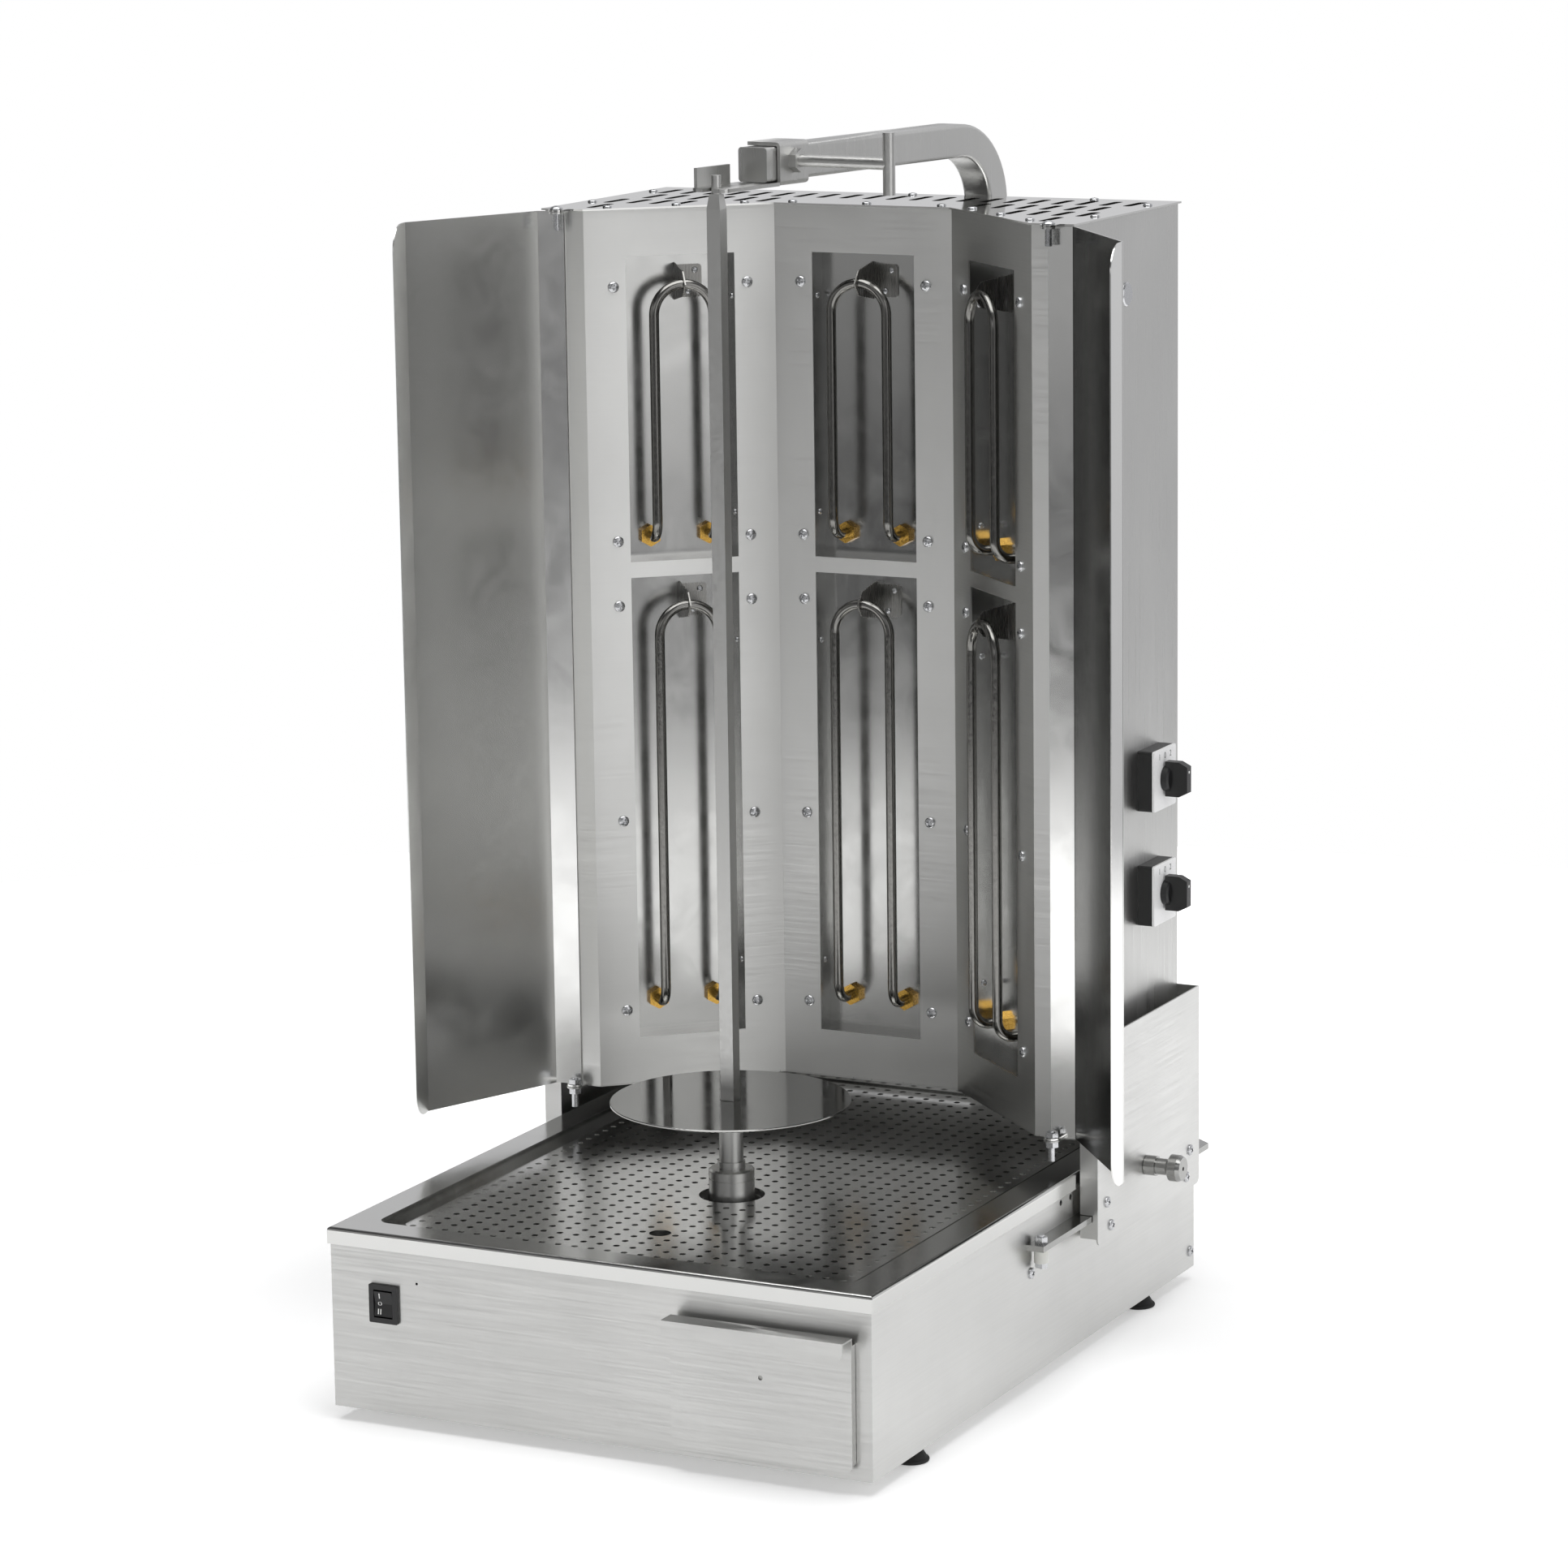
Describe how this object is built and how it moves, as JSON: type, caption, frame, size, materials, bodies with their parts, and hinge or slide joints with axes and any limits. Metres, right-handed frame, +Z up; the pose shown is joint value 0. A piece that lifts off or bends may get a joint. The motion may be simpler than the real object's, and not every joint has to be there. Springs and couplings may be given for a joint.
{
  "type": "electric doner kebab grill",
  "caption": "Electric doner grill: a motor-turned upright spit on a square base with fat tray and drawer, a sliding folded heater tower with hinged wings, and a top bearing on a bent arm.",
  "frame": {"origin": "on the counter that the feet stand on, straight under the spit's axis", "axes": "+X to the right seen from the front, +Y to the rear, away from the drawer, +Z up along the spit"},
  "size_m": [0.6372, 0.7017, 1.031],
  "materials": {
    "brushed_steel": "brushed stainless sheet",
    "polished_steel": "mirror polished stainless sheet",
    "turned_steel": "turned stainless bar",
    "zinc_steel": "bright screws and bolts",
    "element_sheath": "matt heater sheath",
    "brass": "plain brass",
    "gear_housing": "cast and satin",
    "motor_paint": "dark satin paint",
    "black_plastic": "matt moulded plastic",
    "switch_face": "silver-white face plate",
    "white_nylon": "plain white nylon",
    "cream_plastic": "plain moulded plastic",
    "rubber": "black rubber"
  },
  "bodies": {
    "base": {"base_housing": "brushed_steel", "rear_panel": "brushed_steel", "base_floor": "brushed_steel", "tray_frame": "polished_steel", "perforated_plate": "polished_steel", "drip_pan": "brushed_steel", "rubber_feet": "rubber", "base_screws": "zinc_steel", "rocker_bezel": "black_plastic", "motor_bracket": "brushed_steel", "gearbox": "gear_housing", "drive_motor": "motor_paint", "terminal_block": "cream_plastic", "cable_gland": "black_plastic", "guide_bars": "brushed_steel", "guide_spacers": "white_nylon", "guide_bolts": "zinc_steel", "drawer_runners": "brushed_steel", "arm_foot": "brushed_steel", "arm_tube": "brushed_steel", "arm_end_cap": "brushed_steel"},
    "rocker": {"power_rocker": "black_plastic"},
    "drawer": {"drawer_front": "brushed_steel", "drawer_box": "brushed_steel"},
    "spit": {"drive_socket": "turned_steel", "spit_bar": "turned_steel", "spit_disc": "polished_steel", "disc_sleeve": "turned_steel"},
    "carriage": {"carriage_frame": "brushed_steel", "slide_blocks": "white_nylon", "carriage_screws": "zinc_steel", "lock_nut": "zinc_steel", "heater_casing": "brushed_steel", "heater_floor": "brushed_steel", "top_cover": "polished_steel", "cover_screws": "zinc_steel", "front_panel": "brushed_steel", "panel_screws": "zinc_steel", "left_reflectors": "polished_steel", "centre_reflectors": "polished_steel", "right_reflectors": "polished_steel", "left_upper_element": "element_sheath", "left_lower_element": "element_sheath", "centre_upper_element": "element_sheath", "centre_lower_element": "element_sheath", "right_upper_element": "element_sheath", "right_lower_element": "element_sheath", "element_nuts": "brass", "element_brackets": "brushed_steel", "switch_bodies": "black_plastic", "switch_plates": "switch_face", "wall_plug": "zinc_steel", "hinge_bolts": "zinc_steel"},
    "lock_knob": {"lock_knob": "turned_steel"},
    "upper_knob": {"upper_knob": "black_plastic"},
    "lower_knob": {"lower_knob": "black_plastic"},
    "left_wing": {"left_wing": "brushed_steel"},
    "right_wing": {"right_wing": "brushed_steel"},
    "bearing": {"bearing_sleeve": "brushed_steel"},
    "clamp": {"clamp_screw": "turned_steel"}
  },
  "joints": [
    {"name": "spit_turn", "type": "hinge", "parent": "base", "child": "spit", "pos_m": [0, 0, 0.2], "axis": [0, 0, 1], "continuous": true},
    {"name": "drawer_slide", "type": "slide", "parent": "base", "child": "drawer", "axis": [0, -1, 0], "range_m": [0, 0.2]},
    {"name": "rocker_tilt", "type": "hinge", "parent": "base", "child": "rocker", "pos_m": [-0.1935, -0.2365, 0.104], "axis": [1, 0, 0], "range_deg": [-10, 10]},
    {"name": "carriage_slide", "type": "slide", "parent": "base", "child": "carriage", "axis": [0, -1, 0], "range_m": [0, 0.083]},
    {"name": "right_wing_swing", "type": "hinge", "parent": "carriage", "child": "right_wing", "pos_m": [0.22652, 0.1445, 0.572], "axis": [0, 0, 1], "range_deg": [-60, 0]},
    {"name": "left_wing_swing", "type": "hinge", "parent": "carriage", "child": "left_wing", "pos_m": [-0.22652, 0.1445, 0.572], "axis": [0, 0, 1], "range_deg": [-17, 43]},
    {"name": "upper_knob_turn", "type": "hinge", "parent": "carriage", "child": "upper_knob", "pos_m": [0.2583, 0.314, 0.471], "axis": [1, 0, 0], "range_deg": [-45, 45]},
    {"name": "lower_knob_turn", "type": "hinge", "parent": "carriage", "child": "lower_knob", "pos_m": [0.2583, 0.314, 0.372], "axis": [1, 0, 0], "range_deg": [-45, 45]},
    {"name": "lock_turn", "type": "hinge", "parent": "carriage", "child": "lock_knob", "pos_m": [0.263, 0.26122, 0.145], "axis": [1, 0, 0], "range_deg": [0, 360]},
    {"name": "bearing_slide", "type": "slide", "parent": "base", "child": "bearing", "axis": [0.1426, 0.9898, 0], "range_m": [0, 0.07]},
    {"name": "clamp_turn", "type": "hinge", "parent": "bearing", "child": "clamp", "pos_m": [0.02948, 0.08188, 1.006], "axis": [0.9898, -0.1426, 0], "range_deg": [0, 360]}
  ]
}
